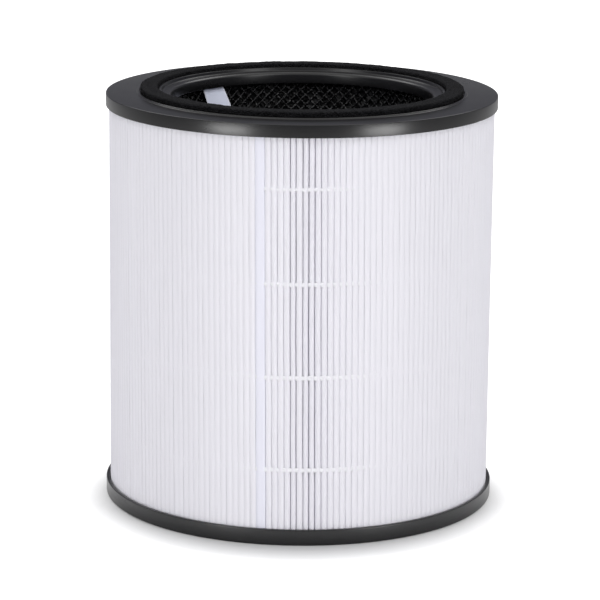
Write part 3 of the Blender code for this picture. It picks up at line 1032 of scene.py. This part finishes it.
RIBBON_ROWS, RIBBON_COLUMNS = 110, 22  # of points, on each face
SELVEDGE_FROM, SELVEDGE_OVER = 0.42, 0.04  # where the thicker edges begin, and over what, in widths
SELVEDGE_EXTRA = 0.2  # how much thicker they are, as a share
SLOPE_STEP = 0.0001  # over which the ribbon's slopes are measured


def ribbon_section(ribbon):
    """For each point round the ribbon's section: metres across, and its place in the thickness.

    The place goes from -1 on one face to 1 on the other, and is larger at the selvedges.
    """
    edge = ribbon.width / 2 - ribbon.thickness / 2
    over = np.linspace(-edge, edge, RIBBON_COLUMNS)
    across = np.concatenate(([-ribbon.width / 2], over, [ribbon.width / 2], over[::-1]))
    side = np.concatenate(([0.0], np.ones(RIBBON_COLUMNS), [0.0], -np.ones(RIBBON_COLUMNS)))
    in_edge = (np.abs(across) - SELVEDGE_FROM * ribbon.width) / (SELVEDGE_OVER * ribbon.width)
    return across, side * (1.0 + SELVEDGE_EXTRA * np.clip(in_edge, 0.0, 1.0))


class FILTER_OT_pull_ribbon(bpy.types.Operator):
    """Hang the woven pull ribbon from behind the collar"""

    bl_idname = "filter.pull_ribbon"
    bl_label = "Pull ribbon"

    def execute(self, context):
        ribbon = context.scene.air_filter.ribbon
        across, side = ribbon_section(ribbon)
        along = np.linspace(0.0, ribbon.length, RIBBON_ROWS)[:, None]
        # Each point leaves the middle plane along its normal, the cross product of the plane's two slopes.
        middle = ribbon_middle(ribbon, along, across[None])
        down = ribbon_middle(ribbon, along + SLOPE_STEP, across[None]) - middle
        sideways = ribbon_middle(ribbon, along, across[None] + SLOPE_STEP) - middle
        normal = np.cross(down, sideways)
        normal /= np.linalg.norm(normal, axis=-1, keepdims=True)
        points = middle + normal * (side * ribbon.thickness / 2)[None, :, None]
        piece = add_surface("ribbon", points[None], close_rows=False, end_faces=True, sharp_degrees=80.0)
        flat = piece.data.attributes.new("flat", "FLOAT_VECTOR", "POINT")
        place = np.stack(np.broadcast_arrays(across[None], along, 0.0), axis=-1)
        flat.data.foreach_set("vector", place.astype(np.float32).ravel())
        finish_piece(piece, paint_ribbon(ribbon), "ribbon", "pull_ribbon")
        return {"FINISHED"}


# Each softbox: its radiance's setting and the share of it, azimuth in degrees from the camera's side,
# distance, width and length, and height
SOFTBOXES = {
    "left_softbox": ("low_lamps", 1.0, -39.5, 0.85, (0.30, 0.14), 0.08),
    "right_softbox": ("low_lamps", 1.0, 45.5, 0.85, (0.31, 0.14), 0.08),
    "high_left_softbox": ("high_lamps", 0.9, -42.0, 1.0, (0.36, 1.1), 0.95),
    "high_right_softbox": ("high_lamps", 1.0, 46.0, 1.0, (0.36, 1.1), 0.95),
    "rear_left_softbox": ("rear_lamps", 1.0, -142.0, 1.2, (0.9, 0.6), 1.3),
    "rear_right_softbox": ("rear_lamps", 1.0, 142.0, 1.2, (0.9, 0.6), 1.3),
}
FLOOR_RADIUS, WALL_BEND = 15.0, 1.2  # where the floor curves up, and the curve's radius
WALL_TOP, FLOOR_THICKNESS = 2.2, 0.2
FLOOR_MIDDLE, FLOOR_RING = 0.05, 2.0  # radii of the disc that closes its middle, and of the next ring
PAINTED_SHADOW_SHIFT = 0.018  # of the painted contact shadow's middle, towards the camera


class FILTER_OT_stage(bpy.types.Operator):
    """Set up the pale floor, the soft lamps, the sky and the camera"""

    bl_idname = "filter.stage"
    bl_label = "Stage"

    def execute(self, context):
        stage = context.scene.air_filter.stage
        self.floor(stage)
        self.sky(context.scene, stage)
        for name, (lamps, part, *place) in SOFTBOXES.items():
            self.softbox(name, part * getattr(stage, lamps), *place)
        self.camera(context.scene, stage)
        context.scene.view_settings.view_transform = "Standard"
        return {"FINISHED"}

    def floor(self, stage):
        """A wide dish whose edge curves up into a low white wall, so that no horizon shows."""
        bend = np.linspace(0.0, 0.5 * math.pi, 9)
        out, up = FLOOR_RADIUS + WALL_BEND * np.sin(bend), WALL_BEND - WALL_BEND * np.cos(bend)
        face, under = FLOOR_RADIUS + WALL_BEND, -FLOOR_THICKNESS
        back = face + FLOOR_THICKNESS
        flat = (FLOOR_MIDDLE, 0.0), (FLOOR_RING, 0.0)
        wall = (face, WALL_TOP), (back, WALL_TOP), (back, under), (FLOOR_MIDDLE, under)
        outline = np.vstack((*flat, np.stack((out, up), axis=1), *wall))
        floor = add_surface("floor", turned(outline, 96), close_rows=False, end_faces=True)
        floor.data.materials.append(self.paint_floor(stage))

    def paint_floor(self, stage):
        """Matt floor with a glow, which fades in outside a painted contact shadow round the filter's foot.

        In reflections the glow fades away again further off, as if the white sheet were about a metre wide.
        """
        paint = Paint("pale_floor")
        camera, glossy, through = (
            paint.node("ShaderNodeLightPath", output=f"Is {kind} Ray")
            for kind in ("Camera", "Glossy", "Transmission")
        )
        place = paint.place()
        away = paint.distance(place)
        shift = {"Vector": place, "Location": (0.0, PAINTED_SHADOW_SHIFT, 0.0)}
        from_painted_shadow = paint.distance(paint.node("ShaderNodeMapping", inputs=shift))
        level = paint.step(away, 0.1, 0.6, stage.near_glow, stage.far_glow)
        # Painted contact shadow: the glow is taken away round the filter's foot and fades in further out.
        painted_contact_shadow = paint.step(from_painted_shadow, BASE_CAP.radius - PAINTED_SHADOW_SHIFT, BASE_CAP.radius + 0.030)
        mirrored = glossy.maximum(through) * paint.step(away, 0.25, 0.7, 0.85, stage.mirrored)
        strength = mirrored.maximum(camera) * level * painted_contact_shadow
        matt = paint.node("ShaderNodeBsdfDiffuse", inputs={"Color": rgba(stage.floor)})
        white = (1.0, 1.0, 1.0, 1.0)
        glow = paint.node("ShaderNodeEmission", inputs={"Color": white, "Strength": strength})
        both = paint.node("ShaderNodeAddShader", inputs={0: matt, 1: glow})
        paint.tree.nodes.remove(paint.shader)
        paint.feed(paint.tree.nodes["Material Output"].inputs["Surface"], both)
        return paint.material

    def sky(self, scene, stage):
        """Even dim light from low all round, and a pale ceiling."""
        world = bpy.data.worlds.new("pale_room")
        world.use_nodes = True
        paint = Paint.of(world)
        height = paint.axis(paint.node("ShaderNodeTexCoord"), "Z")
        shade = paint.mix(paint.step(height, 0.4, 0.9), rgba(stage.horizon), rgba(stage.zenith))
        paint.feed(world.node_tree.nodes["Background"].inputs["Color"], shade)
        scene.world = world

    def softbox(self, name, radiance, azimuth, distance, size, height):
        """A soft lamp turned to the filter's middle, at an angle from the camera's side."""
        lamp = bpy.data.lights.new(name, "AREA")
        lamp.shape, lamp.size, lamp.size_y = "RECTANGLE", *size
        lamp.energy = radiance * math.pi * size[0] * size[1]
        box = bpy.data.objects.new(name, lamp)
        turn = math.radians(azimuth)
        aim = math.atan2(height - MEDIA.top / 2, distance)
        box.matrix_world = (
            Matrix.Translation((distance * math.sin(turn), -distance * math.cos(turn), height))
            @ Matrix.Rotation(turn, 4, "Z")
            @ Matrix.Rotation(math.pi / 2 - aim, 4, "X")
        )
        box.visible_camera = False
        bpy.context.scene.collection.objects.link(box)

    def camera(self, scene, stage):
        """The camera in front of the filter, above it and looking a little down."""
        data = bpy.data.cameras.new("camera")
        data.lens = stage.lens
        data.clip_start, data.clip_end = 0.05, 60.0
        camera = bpy.data.objects.new("camera", data)
        camera.matrix_world = (
            Matrix.Translation((0.0, -stage.distance, stage.height))
            @ Matrix.Rotation(math.pi / 2 - stage.pitch, 4, "X")
            @ Matrix.Rotation(stage.roll, 4, "Z")
        )
        scene.collection.objects.link(camera)
        scene.camera = camera


OPERATORS = (
    FILTER_OT_end_caps,
    FILTER_OT_gasket,
    FILTER_OT_pleated_media,
    FILTER_OT_glue_beads,
    FILTER_OT_core,
    FILTER_OT_pull_ribbon,
    FILTER_OT_stage,
)


class FILTER_PT_pieces(bpy.types.Panel):
    """The filter's pieces, each with its sizes and the button that builds it"""

    bl_idname = "FILTER_PT_pieces"
    bl_label = "Air purifier filter"
    bl_space_type = "VIEW_3D"
    bl_region_type = "UI"
    bl_category = "Filter"

    def draw(self, context):
        settings = context.scene.air_filter
        for operator in OPERATORS:
            self.layout.operator(operator.bl_idname)
        for group_name in settings.__annotations__:
            group = getattr(settings, group_name)
            box = self.layout.box()
            for name in group.__annotations__:
                box.prop(group, name)


CLASSES = (
    CapSettings,
    GasketSettings,
    MediaSettings,
    BeadSettings,
    CoreSettings,
    RibbonSettings,
    StageSettings,
    FilterSettings,
    *OPERATORS,
    FILTER_PT_pieces,
)


def register():
    for made in CLASSES:
        bpy.utils.register_class(made)
    bpy.types.Scene.air_filter = bpy.props.PointerProperty(type=FilterSettings)


def unregister():
    del bpy.types.Scene.air_filter
    for made in reversed(CLASSES):
        bpy.utils.unregister_class(made)


def main():
    """Build every piece and the stage."""
    register()
    bpy.ops.filter.end_caps()
    bpy.ops.filter.gasket()
    bpy.ops.filter.pleated_media()
    bpy.ops.filter.glue_beads()
    bpy.ops.filter.core()
    bpy.ops.filter.pull_ribbon()
    bpy.ops.filter.stage()
    bpy.context.view_layer.update()


if __name__ == "__main__":
    main()
